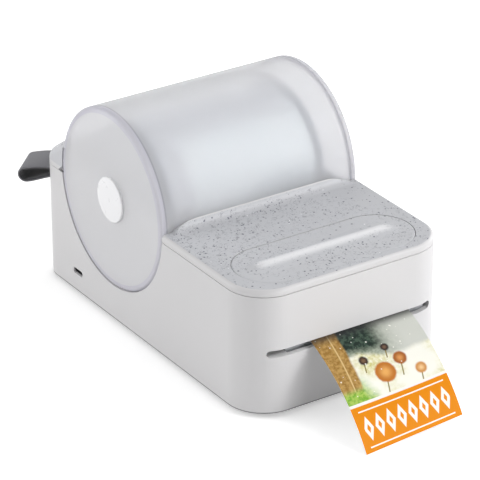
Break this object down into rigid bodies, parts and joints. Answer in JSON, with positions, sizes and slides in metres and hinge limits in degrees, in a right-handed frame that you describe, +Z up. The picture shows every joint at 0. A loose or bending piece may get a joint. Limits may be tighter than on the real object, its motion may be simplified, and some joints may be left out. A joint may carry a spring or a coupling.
{
  "type": "compact photo printer",
  "caption": "Compact strip printer with a frosted drum cover hinged at the back over a paper cassette, a long feed button on the deck and a printed strip hanging from the front mouth.",
  "frame": {"origin": "centre of the rubber foot's underside, on the table, below the middle of the body", "axes": "+Z up; the front with the paper mouth faces -Y; +X is to the right seen from the front"},
  "size_m": [0.1107, 0.2344, 0.1023],
  "materials": {
    "housing_white": "smooth moulded",
    "deck_grey": "fine speckle",
    "frosted_lilac": "frosted",
    "foot_rubber": "matt",
    "base_grey": "moulded",
    "badge_white": "smooth",
    "webbing_grey": "woven",
    "paper_white": "matt",
    "core_card": "matt",
    "strip_print": "printed",
    "steel": "brushed",
    "chassis_steel": "sheet",
    "spring_steel": "drawn",
    "roller_rubber": "ground",
    "bronze": "sintered",
    "gear_nylon": "moulded",
    "head_ceramic": "glazed edge",
    "sink_aluminium": "extruded",
    "motor_can": "satin",
    "dark_plastic": "moulded",
    "guide_plastic": "moulded",
    "cassette_clear": "translucent",
    "cable_white": "ribbed",
    "board_green": "lacquer",
    "battery_wrap": "film",
    "dome_rubber": "silicone"
  },
  "bodies": {
    "base": {"main_housing": "housing_white", "deck_cap": "deck_grey", "base_plate": "base_grey", "rubber_foot": "foot_rubber", "base_screws": "steel", "button_domes": "dome_rubber", "button_board": "board_green", "hinge_pins": "steel", "carry_strap": "webbing_grey", "strap_anchor": "base_grey", "tear_bar": "chassis_steel", "printed_strip": "strip_print", "cassette_body": "cassette_clear", "cassette_ends": "cassette_clear", "roll_cradle": "guide_plastic", "engine_frame": "chassis_steel", "platen_bushes": "bronze", "idler_post": "steel", "drive_motor": "motor_can", "print_head": "head_ceramic", "heat_sink": "sink_aluminium", "head_springs": "spring_steel", "paper_guide": "guide_plastic", "media_sensor": "dark_plastic", "head_cable": "cable_white", "engine_screws": "steel", "main_board": "board_green", "board_screws": "steel", "battery_pack": "battery_wrap", "usb_socket": "steel", "usb_board": "board_green"},
    "cover": {"cover_shell": "frosted_lilac", "cover_disc_left": "frosted_lilac", "cover_disc_right": "frosted_lilac", "rear_hood": "deck_grey", "side_badge": "badge_white"},
    "button": {"feed_button": "deck_grey"},
    "platen": {"platen_roller": "roller_rubber", "platen_shaft": "steel", "platen_gear": "gear_nylon"},
    "idler": {"idler_gear": "gear_nylon"},
    "pinion": {"motor_pinion": "gear_nylon", "motor_shaft": "steel"},
    "pinch": {"pinch_roller": "roller_rubber", "pinch_shaft": "steel"},
    "roll": {"paper_roll": "paper_white", "roll_core": "core_card"}
  },
  "joints": [
    {"name": "cover_hinge", "type": "hinge", "parent": "base", "child": "cover", "pos_m": [0, 0.0875, 0.057], "axis": [-1, 0, 0], "range_deg": [0, 80]},
    {"name": "button_press", "type": "slide", "parent": "base", "child": "button", "axis": [0, 0, -1], "range_m": [0, 0.0012], "stiffness_N_per_m": 900, "springref_m": -0.0004, "deforming": ["button_domes"]},
    {"name": "platen_spin", "type": "hinge", "parent": "base", "child": "platen", "pos_m": [0, -0.066, 0.02785], "axis": [1, 0, 0], "continuous": true},
    {"name": "idler_spin", "type": "hinge", "parent": "base", "child": "idler", "pos_m": [0, -0.05273, 0.0323], "axis": [1, 0, 0], "continuous": true},
    {"name": "pinion_spin", "type": "hinge", "parent": "base", "child": "pinion", "pos_m": [0, -0.047, 0.0235], "axis": [1, 0, 0], "continuous": true},
    {"name": "pinch_spin", "type": "hinge", "parent": "base", "child": "pinch", "pos_m": [0, -0.044, 0.03755], "axis": [1, 0, 0], "continuous": true},
    {"name": "roll_spin", "type": "hinge", "parent": "base", "child": "roll", "pos_m": [0, 0.02549, 0.0605], "axis": [1, 0, 0], "continuous": true}
  ],
  "couplings": [
    {"joint": "idler_spin", "follows": "platen_spin", "ratio": -1.2222},
    {"joint": "pinion_spin", "follows": "platen_spin", "ratio": 1.8333}
  ]
}
